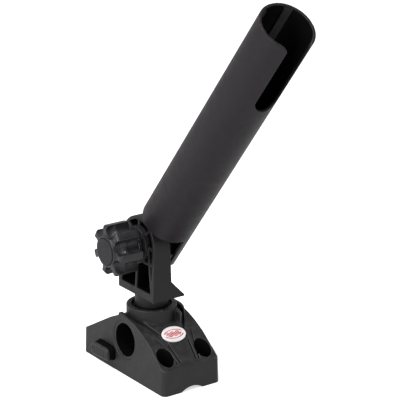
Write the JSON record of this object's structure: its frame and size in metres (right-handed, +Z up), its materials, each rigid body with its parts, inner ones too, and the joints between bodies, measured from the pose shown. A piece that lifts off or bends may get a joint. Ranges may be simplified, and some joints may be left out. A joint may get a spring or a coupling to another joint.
{
  "type": "rod holder",
  "caption": "Boat rod holder: long tube with a reel slot, tilting on a ribbed head with a lobed hand knob, on a swivel post in a screw-down base with a side socket and lock button.",
  "frame": {"origin": "centre of the swivel axis on the flat underside of the base", "axes": "+Z up along the swivel post, +X the way the rod tube leans at rest, -Y the side with the side socket, the lock button and the hand knob"},
  "size_m": [0.251, 0.0754, 0.3468],
  "materials": {
    "black_nylon": "fine-textured black glass-filled nylon",
    "tube_plastic": "satin black extruded plastic",
    "knob_plastic": "satin black moulded plastic",
    "knob_cap_plastic": "smooth dark grey plastic",
    "badge_white": null,
    "stainless": "plain stainless steel",
    "brass": "plain brass",
    "black_acetal": "smooth black acetal"
  },
  "bodies": {
    "base": {"base_body": "black_nylon", "bottom_cover": "black_nylon", "cover_screw_1": "stainless", "cover_screw_2": "stainless", "cover_screw_3": "stainless", "cover_screw_4": "stainless", "base_badge": "badge_white", "latch_spring_back": "stainless", "latch_spring_front": "stainless"},
    "button": {"lock_button": "black_nylon", "latch_plate": "stainless"},
    "head": {"swivel_head": "black_nylon", "post_wear_ring": "black_acetal"},
    "arm": {"rod_tube": "tube_plastic", "pivot_bolt": "stainless", "release_spring": "stainless", "thrust_washer": "black_acetal", "knob_washer": "stainless"},
    "knob": {"knob_body": "knob_plastic", "knob_insert": "brass", "knob_cap": "knob_cap_plastic"}
  },
  "joints": [
    {"name": "swivel", "type": "hinge", "parent": "base", "child": "head", "pos_m": [0, 0, 0.06], "axis": [0, 0, 1], "continuous": true},
    {"name": "tilt", "type": "hinge", "parent": "head", "child": "arm", "pos_m": [0, 0, 0.1143], "axis": [0, 1, 0], "range_deg": [-128.4, 51.6]},
    {"name": "knob_turn", "type": "hinge", "parent": "arm", "child": "knob", "pos_m": [0, -0.03, 0.1143], "axis": [0, 1, 0], "continuous": true},
    {"name": "button_push", "type": "slide", "parent": "base", "child": "button", "axis": [0, 1, 0], "range_m": [0, 0.0034], "stiffness_N_per_m": 500, "springref_m": -0.006, "deforming": ["latch_spring_back", "latch_spring_front"]}
  ]
}
